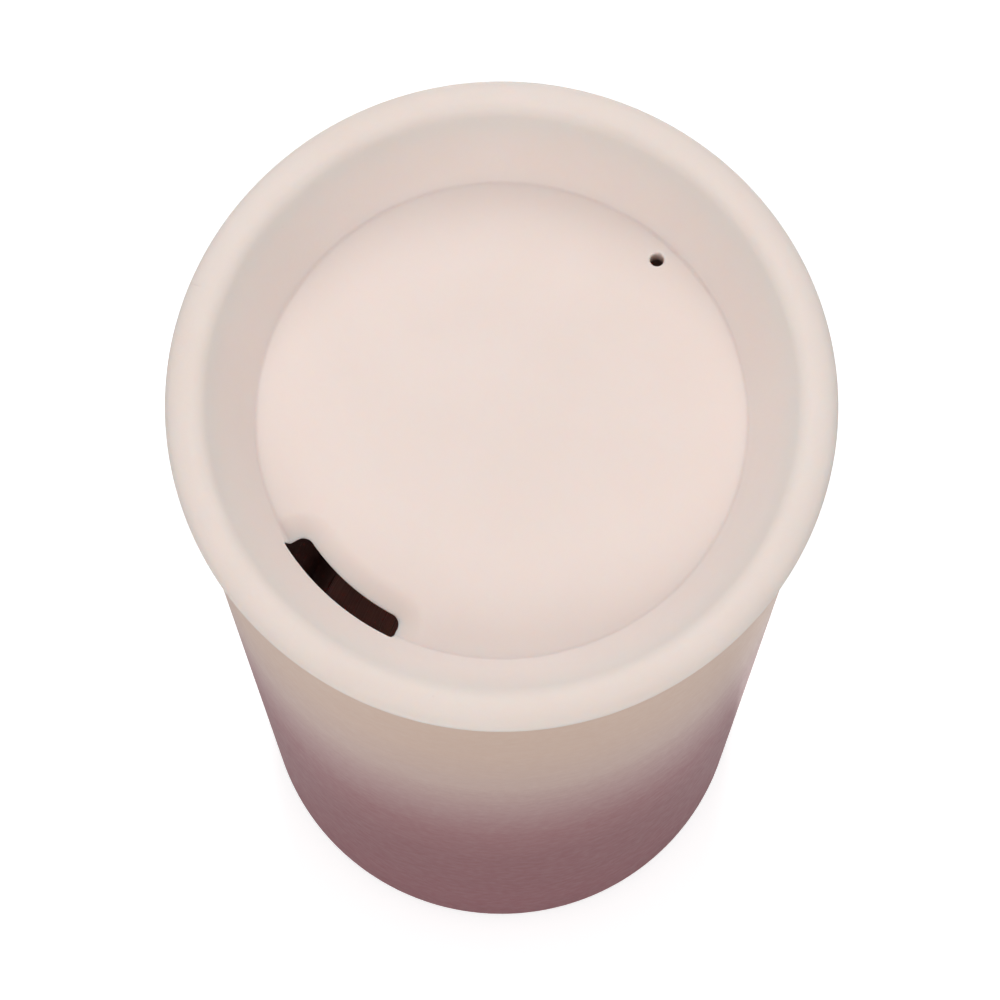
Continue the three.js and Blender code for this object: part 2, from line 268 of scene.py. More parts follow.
# ---- meshes ------------------------------------------------------------------------------
def finish_mesh(name, bm, materials, sharp_deg=40):
    bmesh.ops.recalc_face_normals(bm, faces=bm.faces)
    mesh = bpy.data.meshes.new(name)
    bm.to_mesh(mesh)
    bm.free()
    for material in materials:
        mesh.materials.append(material)
    mesh.shade_smooth()
    mesh.set_sharp_from_angle(angle=math.radians(sharp_deg))
    obj = bpy.data.objects.new(name, mesh)
    bpy.context.scene.collection.objects.link(obj)
    return obj


def point(r, a, z):
    return r * math.cos(a) * MM, r * math.sin(a) * MM, z * MM


def cell(one, other, j):
    """Corners of the face between two rings after column j. A ring on the axis is one vertex."""
    corners = [one[0]] if len(one) == 1 else [one[j], one[(j + 1) % len(one)]]
    corners += [other[0]] if len(other) == 1 else [other[(j + 1) % len(other)], other[j]]
    return corners


def turned(name, profile, materials, columns=240, slot_of=None):
    """Turns a closed profile round +Z. slot_of gives a row of faces its material."""
    angles = [2 * math.pi * i / columns for i in range(columns)]
    bm = bmesh.new()
    rings = []
    for r, z in profile:
        around = [0] if r < TINY else angles
        rings.append([bm.verts.new(point(r, a, z)) for a in around])
    pairs = list(zip(rings, rings[1:]))
    if len(rings[0]) > 1 or len(rings[-1]) > 1:
        pairs.append((rings[-1], rings[0]))
    for row, (low, high) in enumerate(pairs):
        for j in range(columns):
            face = bm.faces.new(cell(low, high, j))
            if slot_of:
                face.material_index = slot_of(row)
    return finish_mesh(name, bm, materials)


# ---- node helpers ---------------------------------------------------------------------------
class Nodes:
    """A material's node tree, with short calls to add and join nodes."""

    def __init__(self, name):
        self.material = bpy.data.materials.new(name)
        self.material.use_nodes = True
        self.tree = self.material.node_tree
        self.shader = self.tree.nodes["Principled BSDF"]

    def add(self, kind, inputs=None, **settings):
        node = self.tree.nodes.new(kind)
        for key, value in settings.items():
            setattr(node, key, value)
        for key, value in (inputs or {}).items():
            self.feed(node, key, value)
        return node

    def feed(self, node, key, value):
        socket = node.inputs[key]
        if isinstance(value, bpy.types.NodeSocket):
            self.tree.links.new(value, socket)
        else:
            socket.default_value = value

    def set(self, **values):
        for key, value in values.items():
            self.feed(self.shader, key.replace("_", " "), value)

    def math(self, operation, a, b=0.0, c=0.0):
        node = self.add("ShaderNodeMath", operation=operation)
        for i, value in enumerate((a, b, c)):
            self.feed(node, i, value)
        return node.outputs[0]

    def place(self, scale=(1, 1, 1)):
        """Object coordinates, stretched by scale."""
        coordinates = self.add("ShaderNodeTexCoord").outputs["Object"]
        return self.add("ShaderNodeMapping", {"Vector": coordinates, "Scale": scale}).outputs[0]

    def noise(self, scale, detail=2.0, roughness=0.5, stretch=(1, 1, 1), distortion=0.0):
        """Noise of scale waves in a metre."""
        node = self.add("ShaderNodeTexNoise", {
            "Vector": self.place(stretch), "Scale": scale, "Detail": detail,
            "Roughness": roughness, "Distortion": distortion,
        })
        return node.outputs["Fac"]

    def cells(self, scale, stretch=(1, 1, 1), feature="F1"):
        """Distance in a pattern of scale cells in a metre, to their middles or their edges."""
        inputs = {"Vector": self.place(stretch), "Scale": scale}
        return self.add("ShaderNodeTexVoronoi", inputs, feature=feature).outputs["Distance"]

    def ramp(self, value, stops):
        node = self.add("ShaderNodeValToRGB", {"Fac": value})
        ramp = node.color_ramp
        while len(ramp.elements) < len(stops):
            ramp.elements.new(0.5)
        for element, (position, colour) in zip(ramp.elements, stops):
            element.position = position
            element.color = (*colour, 1.0)
        return node.outputs["Color"]

    def span(self, value, low, high, to_low=0.0, to_high=1.0):
        node = self.add("ShaderNodeMapRange", {
            "Value": value, "From Min": low, "From Max": high, "To Min": to_low, "To Max": to_high,
        })
        return node.outputs["Result"]

    def centred(self, value, size):
        """A noise value as a shift of size in all, half of it each way."""
        return self.math("MULTIPLY_ADD", value, size, -size / 2)

    def mix(self, factor, a, b):
        """From colour a to colour b. A colour is red, green and blue, or a socket."""
        node = self.add("ShaderNodeMix", data_type="RGBA")
        self.feed(node, 0, factor)
        for key, colour in ((6, a), (7, b)):
            self.feed(node, key, (*colour, 1) if isinstance(colour, tuple) else colour)
        return node.outputs[2]

    def bump(self, height, strength, distance, normal=None):
        inputs = {"Height": height, "Strength": strength, "Distance": distance}
        if normal is not None:
            inputs["Normal"] = normal
        return self.add("ShaderNodeBump", inputs).outputs["Normal"]

    def edges(self):
        """About 0.5 on flat surface, rising on convex edges."""
        return self.add("ShaderNodeNewGeometry").outputs["Pointiness"]


def linear(r, g, b):
    """A display colour, 0 to 255, as scene-linear values."""
    def one(c):
        c /= 255
        return c / 12.92 if c <= 0.04045 else ((c + 0.055) / 1.055) ** 2.4
    return one(r), one(g), one(b)


def shade(colour, share):
    return tuple(c * share for c in colour)


# ---- materials ------------------------------------------------------------------------------
DUST = (0.55, 0.43, 0.37)
WORN_PAINT = (0.62, 0.55, 0.5)
PEARL = (1.0, 0.93, 0.9)
COPPER_BRIGHT = (0.83, 0.45, 0.29)
COPPER_TARNISHED = (0.62, 0.29, 0.19)
OMBRE_STOPS = [  # height on the wall in millimetres, and the paint's colour there
    (12, (146, 78, 87)),
    (30, (142, 77, 85)),
    (50, (143, 79, 86)),
    (70, (155, 96, 100)),
    (90, (180, 138, 137)),
    (110, (207, 178, 167)),
    (130, (218, 188, 170)),
    (150, (222, 192, 172)),
]


def silicone(name, tone, warm, scatter_mm, roughness):
    """Matte moulded silicone: milky depth, fine bead-blasted skin, dust and faint flow marks."""
    n = Nodes(name)
    flow = n.noise(38, detail=3, stretch=(1, 1, 1.6), distortion=0.6)
    body = n.mix(n.span(flow, 0.35, 0.68), tone, warm)
    dust = n.span(n.cells(260), 0.02, 0.06, 0.10, 0.0)
    chosen = n.span(n.noise(90, detail=1), 0.60, 0.66)
    body = n.mix(n.math("MULTIPLY", dust, chosen), body, DUST)
    skin = n.noise(2600, detail=2)
    grain = n.noise(900, detail=3)
    rough = n.math("ADD", n.span(grain, 0.3, 0.7, roughness - 0.06, roughness + 0.06),
                   n.span(flow, 0.3, 0.7, -0.03, 0.03))
    fine = n.bump(skin, 0.22, 0.00004)
    n.set(Base_Color=body, Roughness=rough, Normal=n.bump(grain, 0.12, 0.00008, fine))
    n.set(Subsurface_Weight=1.0, Subsurface_Radius=(1.0, 0.74, 0.6), Subsurface_Scale=scatter_mm * MM)
    n.set(Specular_IOR_Level=0.38, Sheen_Weight=0.08, Sheen_Roughness=0.5, IOR=1.41)
    return n.material


def ombre_paint():
    """Satin sprayed paint that fades from beige through lavender grey to mauve, down the wall."""
    n = Nodes("ombre_satin_paint")
    height = n.add("ShaderNodeSeparateXYZ", {0: n.place()}).outputs["Z"]
    bands = n.noise(30, detail=5, roughness=0.6, stretch=(0.5, 0.5, 9))
    threads = n.noise(120, detail=3, roughness=0.6, stretch=(0.35, 0.35, 14))
    mist = n.noise(1500, detail=2)
    drift = n.math("ADD", n.centred(bands, 0.010), n.centred(threads, 0.006))
    drift = n.math("ADD", drift, n.centred(mist, 0.010))
    level = n.span(n.math("ADD", height, drift), 0.0, TOP * MM)
    fade = n.ramp(level, [(z / TOP, linear(*colour)) for z, colour in OMBRE_STOPS])
    sparkle = n.span(n.cells(4200), 0.0, 0.25, 0.06, 0.0)
    colour = n.mix(sparkle, fade, PEARL)
    colour = n.mix(n.span(n.edges(), 0.56, 0.64), colour, WORN_PAINT)
    peel = n.noise(700, detail=2)
    n.set(Base_Color=colour, Metallic=0.25)
    n.set(Roughness=n.span(peel, 0.3, 0.7, 0.36, 0.44))
    n.set(Normal=n.bump(mist, 0.10, 0.00003, n.bump(peel, 0.12, 0.00006)))
    n.set(IOR=1.45, Specular_IOR_Level=0.44)
    return n.material


def brushed(name, colour, rough_low, rough_high, rings_per_metre):
    """Steel brushed round the cup: fine scratches along each ring, with smudges."""
    n = Nodes(name)
    fine = n.noise(rings_per_metre, detail=4, roughness=0.7, stretch=(0.02, 0.02, 1))
    coarse = n.noise(rings_per_metre / 6, detail=3, stretch=(0.03, 0.03, 1))
    smudge = n.noise(55, detail=4, roughness=0.6)
    scratches = n.math("ADD", n.math("MULTIPLY", fine, 0.65), n.math("MULTIPLY", coarse, 0.35))
    tone = n.span(scratches, 0.35, 0.65)
    n.set(Base_Color=n.mix(tone, shade(colour, 0.78), colour), Metallic=1.0)
    rough = n.math("ADD", n.span(scratches, 0.3, 0.7, rough_low, rough_high),
                   n.span(smudge, 0.45, 0.7, 0.0, 0.08))
    n.set(Roughness=rough, Normal=n.bump(scratches, 0.25, 0.00002))
    return n.material


def spun(name, colour, rough_low, rough_high):
    """Flat sheet metal with turning rings about the axis."""
    n = Nodes(name)
    flat = n.add("ShaderNodeVectorMath", {0: n.place(), 1: (1, 1, 0)}, operation="MULTIPLY").outputs[0]
    radius = n.add("ShaderNodeVectorMath", {0: flat}, operation="LENGTH").outputs["Value"]
    wobble = n.math("MULTIPLY", n.noise(120, detail=2), 0.0004)
    ring = n.add("ShaderNodeTexNoise", {"W": n.math("ADD", radius, wobble), "Scale": 5200.0,
                                        "Detail": 3.0, "Roughness": 0.7}, noise_dimensions="1D")
    lines = ring.outputs["Fac"]
    smudge = n.noise(70, detail=4, roughness=0.6)
    n.set(Base_Color=n.mix(n.span(lines, 0.35, 0.65), shade(colour, 0.75), colour), Metallic=1.0)
    rough = n.math("ADD", n.span(lines, 0.3, 0.7, rough_low, rough_high),
                   n.span(smudge, 0.45, 0.7, 0.0, 0.1))
    n.set(Roughness=rough, Normal=n.bump(lines, 0.3, 0.00002))
    return n.material


def crinkled_foil():
    n = Nodes("copper_foil_crinkled")
    folds = n.cells(240, (1, 1, 0.6), "DISTANCE_TO_EDGE")
    tarnish = n.noise(45, detail=4)
    n.set(Base_Color=n.mix(n.span(tarnish, 0.4, 0.65), COPPER_BRIGHT, COPPER_TARNISHED))
    n.set(Metallic=1.0, Roughness=n.span(tarnish, 0.3, 0.7, 0.18, 0.34))
    n.set(Normal=n.bump(folds, 0.5, 0.0001))
    return n.material


def sintered(name, dark, light, metallic, roughness):
    """Pressed powder or fused frit: mottled, with fine pits."""
    n = Nodes(name)
    grain = n.noise(3000, detail=4, roughness=0.7)
    n.set(Base_Color=n.mix(n.span(grain, 0.35, 0.65), dark, light), Metallic=metallic)
    n.set(Roughness=n.span(grain, 0.3, 0.7, roughness - 0.06, roughness + 0.08))
    n.set(Normal=n.bump(grain, 0.35, 0.00005))
    return n.material


def studio_floor():
    """Pale paper, lifted to white where it is looked at directly, as on a lit table."""
    n = Nodes("studio_floor")
    paper = n.noise(900, detail=3)
    n.set(Base_Color=n.mix(paper, (0.71, 0.71, 0.71), (0.73, 0.73, 0.73)), Roughness=0.9)
    direct = n.add("ShaderNodeLightPath").outputs["Is Camera Ray"]
    n.set(Specular_IOR_Level=0.1, Emission_Color=(1, 1, 1, 1))
    n.set(Emission_Strength=n.math("MULTIPLY", direct, FLOOR_LIFT))
    return n.material


LID_SILICONE = silicone("lid_silicone", (0.822, 0.72, 0.674), (0.807, 0.70, 0.65), 2.6, 0.58)
PAD_SILICONE = silicone("pad_silicone", (0.60, 0.49, 0.43), (0.57, 0.46, 0.40), 0.6, 0.7)
OMBRE = ombre_paint()
LINER_STEEL = brushed("liner_brushed_steel", (0.76, 0.755, 0.75), 0.20, 0.36, 5200)
RIM_STEEL = brushed("rim_polished_steel", (0.70, 0.695, 0.69), 0.14, 0.26, 7000)
SPUN_STEEL = spun("spun_steel", (0.62, 0.615, 0.61), 0.24, 0.42)


# ---- the lid ----------------------------------------------------------------------------------
def plug_radius(z):
    return liner_radius(z) - GAP


def rib(middle):
    root = plug_radius(middle) - RIB_ROOT
    crown = arc(root + RIB_ROOT - RIB_ROUND, middle, RIB_ROUND, -70, 70, 6, RIB_SQUASH)
    return [(root, middle - RIB_HALF), *crown, (root, middle + RIB_HALF)]


def under_rows():
    """The lid's outline from the axis under the disc, down round the plug and out to the crest."""
    bead_width = LID_RADIUS - CREST_RADIUS
    rows = [(r, DISC_UNDER) for r in DISC_RADII + PATCH_RADII]
    rows += arc(PLUG_BORE - BORE_ROUND, DISC_UNDER - BORE_ROUND, BORE_ROUND, 90, 0, 3)
    rows += arc(PLUG_BORE + PLUG_END_ROUND, PLUG_LOW + PLUG_END_ROUND, PLUG_END_ROUND, 180, 270, 3)
    rows += arc(plug_radius(PLUG_LOW) - PLUG_INSET, PLUG_LOW + PLUG_SHOULDER, PLUG_SHOULDER, -90, -10, 4)
    for middle in RIB_HEIGHTS:
        rows += rib(middle)
    rows += [(plug_radius(NECK) - NECK_INSET, NECK)]
    round_height = CHANNEL_TOP - CHANNEL_ROUND
    rows += arc(plug_radius(CHANNEL_SIDE) + CHANNEL_INSET, round_height, CHANNEL_ROUND, 180, 90, 4)
    rows += arc(SHELL_RADIUS + GAP - CHANNEL_ROUND, round_height, CHANNEL_ROUND, 90, 0, 4)
    rows += arc(LIP_SIDE - LIP_ROUND + LIP_INNER_ROUND, LIP_LOW + LIP_STEP + LIP_INNER_ROUND,
                LIP_INNER_ROUND, 180, 260, 3)
    rows += arc(LIP_SIDE - LIP_ROUND, LIP_LOW + LIP_ROUND, LIP_ROUND, -78, -4, 7)
    rows += [(LIP_SIDE + LIP_FLANK[0], LIP_LOW + LIP_FLANK[1])]
    rows += arc(CREST_RADIUS, TOP - CREST_DROP, bead_width, 0, 90, 16, CREST_DROP / bead_width)
    return rows


def dish_height(r):
    """Height of the lid's upper surface inside the crest, from the bead down to the disc."""
    slope = math.radians(SLOPE_DEG)
    top_r = CREST_RADIUS - SHOULDER * math.sin(slope)
    top_z = TOP - SHOULDER * (1 - math.cos(slope))
    foot_r = DISC_RADIUS + DISC_FILLET * math.sin(slope)
    foot_z = DISC + DISC_FILLET * (1 - math.cos(slope))
    if r >= top_r:
        return TOP - SHOULDER + math.sqrt(max(SHOULDER ** 2 - (CREST_RADIUS - r) ** 2, 0))
    if r >= foot_r:
        t = (r - foot_r) / (top_r - foot_r)
        return foot_z + (top_z - foot_z) * t + SLOPE_CROWN * math.sin(math.pi * t)
    if r >= DISC_RADIUS:
        return DISC + DISC_FILLET - math.sqrt(DISC_FILLET ** 2 - (r - DISC_RADIUS) ** 2)
    return DISC


def dish_radii():
    """Radii of the rings across the dish, from the crest inwards."""
    slope = math.radians(SLOPE_DEG)
    shoulder = [CREST_RADIUS - SHOULDER * math.sin(slope * i / 8) for i in range(1, 9)]
    last = shoulder[-1]
    slope_rings = [last + (SLOPE_END - last) * i / 9 for i in range(1, 10)]
    return shoulder + slope_rings + PATCH_RADII[::-1] + DISC_RADII[::-1]


class Opening:
    """A rounded opening in the lid, in (u, w): arc length round the lid, and distance outwards."""

    def __init__(self, angle, middle, half_u, half_w, inner_corner, outer_corner, keep=()):
        self.angle, self.middle = angle, middle
        self.half_u, self.half_w = half_u, half_w
        self.inner_corner, self.outer_corner = inner_corner, outer_corner
        self.keep = keep  # radii between which the side rows keep their own radius, if any

    def to_uw(self, r, a):
        return turn_between(a, self.angle) * self.middle, r - self.middle

    def from_uw(self, u, w):
        """Radius and angle of a point."""
        return self.middle + w, self.angle + u / self.middle

    def corner(self, outer, grow=0.0):
        return (self.outer_corner if outer else self.inner_corner) + grow

    def distance(self, u, w):
        """Distance outwards from the opening's edge."""
        corner = self.corner(w >= 0)
        du = abs(u) - self.half_u + corner
        dw = abs(w) - self.half_w + corner
        outside = math.hypot(max(du, 0), max(dw, 0))
        return outside + min(max(du, dw), 0) - corner

    def side_u(self, w, grow):
        """Half length at w of the outline grown by grow."""
        corner = self.corner(w >= 0, grow)
        depth = max(abs(w) - (self.half_w + grow - corner), 0)
        return self.half_u + grow - corner + math.sqrt(max(corner ** 2 - depth ** 2, 0))

    def side_w(self, u, outer, grow):
        """Place at u of the grown outline's inner or outer side."""
        corner = self.corner(outer, grow)
        depth = max(abs(u) - (self.half_u + grow - corner), 0)
        w = self.half_w + grow - corner + math.sqrt(max(corner ** 2 - depth ** 2, 0))
        return w if outer else -w

    def corner_middle(self, half, outer, grow):
        """How far out the middle of a corner's round lies, on the side that ends at half."""
        return half + grow - self.corner(outer, grow) * (1 - math.sqrt(0.5))

    def outline(self, u, w, side, box_u, box_w, grow):
        """The point of the grown outline that a point of the patch's border is joined to."""
        if side in ("inner", "outer"):
            outer = side == "outer"
            new_u = u / box_u * self.corner_middle(self.half_u, outer, grow)
            return new_u, self.side_w(new_u, outer, grow)
        knots = [(box_w[0], -self.corner_middle(self.half_w, False, grow))]
        knots += [(k - self.middle, k - self.middle) for k in self.keep]
        knots += [(box_w[1], self.corner_middle(self.half_w, True, grow))]
        new_w = knots[-1][1]
        for (start, from_w), (end, to_w) in zip(knots, knots[1:]):
            if w <= end:
                new_w = from_w + (to_w - from_w) * (w - start) / (end - start)
                break
        return math.copysign(self.side_u(new_w, grow), u), new_w


SLOT = Opening(SLOT_ANGLE, SLOT_MIDDLE, SLOT_HALF_LENGTH, SLOT_HALF_WIDTH,
               SLOT_INNER_CORNER, SLOT_OUTER_CORNER, KEPT_ROWS)
SLOT_UNDER = Opening(SLOT_ANGLE, SLOT_MIDDLE - SLOT_FLARE / 2, SLOT_HALF_LENGTH + SLOT_FLARE,
                     SLOT_HALF_WIDTH + SLOT_FLARE / 2, SLOT_INNER_CORNER, SLOT_OUTER_CORNER)
VENT = Opening(VENT_ANGLE, VENT_MIDDLE, VENT_RADIUS, VENT_RADIUS, VENT_RADIUS, VENT_RADIUS)


def recess(r, a):
    """How far the disc sinks towards the slot."""
    u, w = SLOT.to_uw(r, a)
    if abs(u) > RECESS_REACH[0] or -w > RECESS_REACH[1]:
        return 0.0
    up = 1 - max(SLOT.distance(u, w), 0) / RECESS_WIDTH
    sink = (math.hypot(up, RECESS_SOFTNESS) + up) / 2
    fade_start, fade_width = RECESS_FADE
    return RECESS_DEPTH * sink * (1 - smooth((r - fade_start) / fade_width))


def ripple(r, z, a):
    """How far the slight unevenness of a soft moulding sinks the bead or the slope."""
    place = Vector((r * math.cos(a), r * math.sin(a), z)) * RIPPLE_SCALE
    wave = RIPPLE_DEPTH * noise.noise(place) * smooth((r - RIPPLE_START) / RIPPLE_BLEND)
    return max(-wave, 0)


def nick(r, z, a):
    """Depth of the mould mark across the bead."""
    if z <= TOP - NICK_REACH:
        return 0
    across = turn_between(a, NICK_ANGLE) * r / NICK_HALF_WIDTH
    along = abs(r - NICK_RADIUS) / NICK_HALF_LENGTH
    return NICK_DEPTH * math.exp(-across ** 2) * (1 - smooth(along))


def lid_top(r, a):
    return dish_height(r) - recess(r, a)


def lid_under(r, a):
    return DISC_UNDER


def lid_angles():
    """Column angles: fine round the slot, the vent and the mould mark, coarser elsewhere."""
    zones = []
    for middle, half, step in FINE_COLUMNS:
        start = math.degrees(middle) - half
        zones.append([start + step * i for i in range(round(2 * half / step) + 1)])
    next_starts = [zone[0] for zone in zones[1:]] + [zones[0][0] + 360]
    result = []
    for zone, next_start in zip(zones, next_starts):
        gap = next_start - zone[-1]
        count = round(gap / COARSE_STEP)
        result += zone + [zone[-1] + gap * i / count for i in range(1, count)]
    return [math.radians(d) for d in result]


class LidMesh:
    """The lid's turned grid of rows and columns, with a patch let into it round each opening."""

    def __init__(self):
        self.bm = bmesh.new()
        self.angles = lid_angles()
        under = under_rows()
        self.first_dish = len(under)
        self.rows = under + [(r, dish_height(r)) for r in dish_radii()]
        self.grid = [self.turned_row(i) for i in range(len(self.rows))]
        self.skipped = set()  # cells of the grid that a patch takes the place of

    def vertex(self, r, a, z):
        return self.bm.verts.new(point(r, a, z))

    def turned_row(self, i):
        r, z = self.rows[i]
        if r < TINY:
            return [self.vertex(0, 0, z)]
        return [self.vertex(r, a, self.height(i, a)) for a in self.angles]

    def height(self, i, a):
        r, z = self.rows[i]
        if i >= self.first_dish:
            return lid_top(r, a) - ripple(r, z, a)
        if z > LIP_LOW and r > CREST_RADIUS - TINY:
            return z - ripple(r, z, a) - nick(r, z, a)
        return z

    def join(self, one, other):
        for k in range(len(one)):
            m = (k + 1) % len(one)
            self.bm.faces.new((one[k], one[m], other[m], other[k]))

    def columns_near(self, opening, half_length):
        """First and last column that lie within half_length of the opening's middle."""
        inside = [j for j, a in enumerate(self.angles)
                  if abs(opening.to_uw(opening.middle, a)[0]) <= half_length + TINY]
        return min(inside), max(inside)

    def rows_between(self, start, end, low, high):
        """First and last row from start to end whose radius is from low to high."""
        chosen = [i for i in range(start, end) if low - TINY <= self.rows[i][0] <= high + TINY]
        return min(chosen), max(chosen)

    def border(self, columns, rows):
        """The patch's border in order round it: the row, column and side of each vertex."""
        first, last = columns
        inner, outer = sorted(rows, key=lambda i: self.rows[i][0])
        step = 1 if outer > inner else -1
        between = range(inner + step, outer, step)
        return (
            [(inner, j, "inner") for j in range(first, last + 1)]
            + [(i, last, "end") for i in between]
            + [(outer, j, "outer") for j in range(last, first - 1, -1)]
            + [(i, first, "end") for i in reversed(between)]
        )

    def patch(self, opening, columns, rows, surface, facing):
        """Rings from the patch's border in to the opening's rounded edge. Returns the last ring."""
        self.skipped.update((i, j) for i in range(*rows) for j in range(*columns))
        border = self.border(columns, rows)
        border_uw = [opening.to_uw(self.rows[i][0], self.angles[j]) for i, j, _ in border]
        box_u = abs(opening.to_uw(opening.middle, self.angles[columns[1]])[0])
        box_w = sorted(self.rows[i][0] - opening.middle for i in rows)

        def outline(grow):
            return [opening.outline(u, w, side, box_u, box_w, grow)
                    for (u, w), (_, _, side) in zip(border_uw, border)]

        edge = outline(EDGE_ROUND)
        previous = [self.grid[i][j] for i, j, _ in border]
        for k in range(1, PATCH_RINGS + 1):
            t = (k / PATCH_RINGS) ** PATCH_CLOSING
            ring = []
            for (u, w), (edge_u, edge_w) in zip(border_uw, edge):
                r, a = opening.from_uw(u + (edge_u - u) * t, w + (edge_w - w) * t)
                ring.append(self.vertex(r, a, surface(r, a)))
            self.join(previous, ring)
            previous = ring

        edge_heights = [surface(*opening.from_uw(u, w)) for u, w in edge]
        for k in range(1, EDGE_RINGS + 1):
            turn = math.radians(90 - 90 * k / EDGE_RINGS)
            sink = facing * EDGE_ROUND * (1 - math.sin(turn))
            ring = []
            for (u, w), z in zip(outline(EDGE_ROUND * (1 - math.cos(turn))), edge_heights):
                ring.append(self.vertex(*opening.from_uw(u, w), z - sink))
            self.join(previous, ring)
            previous = ring
        return previous

    def wall(self, top_ring, bottom_ring):
        previous = top_ring
        for k in range(1, WALL_RINGS):
            ring = [self.bm.verts.new(a.co.lerp(b.co, k / WALL_RINGS))
                    for a, b in zip(top_ring, bottom_ring)]
            self.join(previous, ring)
            previous = ring
        self.join(previous, bottom_ring)

    def cut(self, opening, under_opening, half_length, low, high):
        """Lets an opening through the disc, with a patch above and below and a wall between."""
        columns = self.columns_near(opening, half_length)
        top_rows = self.rows_between(self.first_dish, len(self.rows), low, high)
        low_rows = self.rows_between(0, len(DISC_RADII + PATCH_RADII), low, high)
        top_ring = self.patch(opening, columns, top_rows, lid_top, 1)
        low_ring = self.patch(under_opening, columns, low_rows, lid_under, -1)
        self.wall(top_ring, low_ring)

    def fill(self):
        """Faces on all the grid that no patch covers."""
        for i, (one, other) in enumerate(zip(self.grid, self.grid[1:])):
            for j in range(len(self.angles)):
                if (i, j) not in self.skipped:
                    self.bm.faces.new(cell(one, other, j))


def make_lid():
    mesh = LidMesh()
    mesh.cut(SLOT, SLOT_UNDER, *SLOT_PATCH)
    mesh.cut(VENT, VENT, *VENT_PATCH)
    mesh.fill()
    lid = finish_mesh("silicone_lid", mesh.bm, [LID_SILICONE], 50)
    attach(lid, "lid")
    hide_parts("lid")


# ---- the cup ----------------------------------------------------------------------------------
def make_shell():
    foot = SHELL_LOW + FOOT_FILLET
    path = [(RETURN_RADIUS, z) for z in RETURN_HEIGHTS]
    path += arc(RETURN_RADIUS + RETURN_FILLET, SHELL_LOW + RETURN_FILLET, RETURN_FILLET, 180, 270, 6)
    path += arc(wall_radius(foot) - FOOT_FILLET, foot, FOOT_FILLET, -90, 0, 12)[:-1]
    path += line((wall_radius(foot), foot), (wall_radius(PAINT_TOP), PAINT_TOP), 40)
    path += [(wall_radius(PAINT_TOP), PAINT_TOP)]
    painted_rows = len(path) - 1
    path += arc(SHELL_RADIUS - RIM_HALF, RIM_START, RIM_HALF, 0, RIM_WELD_DEG, 8)
    shell = turned("painted_shell", sheet_profile(path, DRAWN_SHEET), [OMBRE, RIM_STEEL],
                   slot_of=lambda row: 0 if row < painted_rows else 1)
    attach(shell, "cup")
    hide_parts("outer_shell")


def liner_corner(size, start, end, steps):
    """The liner's round low corner, on its drink side or, for a larger size, outside it."""
    height = LINER_FLOOR + LINER_CORNER
    return arc(liner_radius(height) - LINER_CORNER, height, size, start, end, steps)


def make_liner_wall():
    low, high = LINER_FLOOR + LINER_CORNER, RIM_START - RIM_HALF
    path = arc(SHELL_RADIUS - RIM_HALF, RIM_START, RIM_HALF, 180 - RIM_WELD_DEG, 180, 8)
    rim_rows = len(path) + 1
    path += line((liner_radius(high), high), (liner_radius(low), low), 30)
    path += liner_corner(LINER_CORNER, 0, LINER_SEAM_DEG, 9)
    wall = turned("liner_wall_brushed", sheet_profile(path, DRAWN_SHEET), [LINER_STEEL, RIM_STEEL],
                  slot_of=lambda row: 1 if row < rim_rows else 0)
    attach(wall, "cup")
    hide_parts("liner_wall")


def make_liner_floor():
    seam = LINER_SEAM_DEG - WELD_DEG
    path = [(r, LINER_FLOOR - SHEET + rise) for r, rise in FLOOR_RISE]
    path += liner_corner(LINER_CORNER + SHEET, -90, seam, 5)
    path += liner_corner(LINER_CORNER, seam, -90, 5)
    path += [(r, LINER_FLOOR + rise) for r, rise in reversed(FLOOR_RISE)]
    bottom = turned("liner_floor_spun", path, [SPUN_STEEL])
    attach(bottom, "cup")
    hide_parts("liner_bottom")


def make_cap():
    bend_height = CAP_LOW + CAP_BEND
    path = [(r, CAP_LOW) for r in CAP_RINGS]
    path += arc(CAP_RADIUS - CAP_BEND, bend_height, CAP_BEND, -90, 0, 6)
    path += [(CAP_RADIUS, CAP_TOP - CAP_BREAK), (CAP_RADIUS - CAP_BREAK, CAP_TOP)]
    path += [(CAP_RADIUS - CAP_SHEET + CAP_BREAK, CAP_TOP), (CAP_RADIUS - CAP_SHEET, CAP_TOP - CAP_BREAK)]
    path += arc(CAP_RADIUS - CAP_BEND, bend_height, CAP_INNER_BEND, 0, -90, 4)
    path += [(0, CAP_LOW + CAP_SHEET)]
    cap = turned("base_cap_spun", path, [SPUN_STEEL], 180)
    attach(cap, "cup")
    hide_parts("base_cap")


def groove(middle):
    """A grip groove in the pad's underside, with soft edges."""
    low, deep = PAD_LOW + GROOVE_ROUND, PAD_LOW + GROOVE_DEPTH - GROOVE_ROUND
    inside, outside = middle - GROOVE_HALF, middle + GROOVE_HALF
    path = arc(inside - GROOVE_ROUND, low, GROOVE_ROUND, -90, 0, 3)
    path += arc(inside + GROOVE_ROUND, deep, GROOVE_ROUND, 180, 90, 3)
    path += arc(outside - GROOVE_ROUND, deep, GROOVE_ROUND, 90, 0, 3)
    path += arc(outside + GROOVE_ROUND, low, GROOVE_ROUND, 180, 270, 3)
    return path


def make_pad():
    path = [(r, PAD_LOW) for r in PAD_RINGS]
    for middle in PAD_GROOVES:
        path += groove(middle)
    path += arc(PAD_RADIUS - PAD_LOW_ROUND, PAD_LOW + PAD_LOW_ROUND, PAD_LOW_ROUND, -90, 0, 5)
    path += arc(PAD_RADIUS - PAD_TOP_ROUND, PAD_TOP - PAD_TOP_ROUND, PAD_TOP_ROUND, 0, 90, 2)
    path += [(0, PAD_TOP)]
    pad = turned("grip_pad", path, [PAD_SILICONE], 180)
    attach(pad, "cup")
    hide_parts("base_pad")


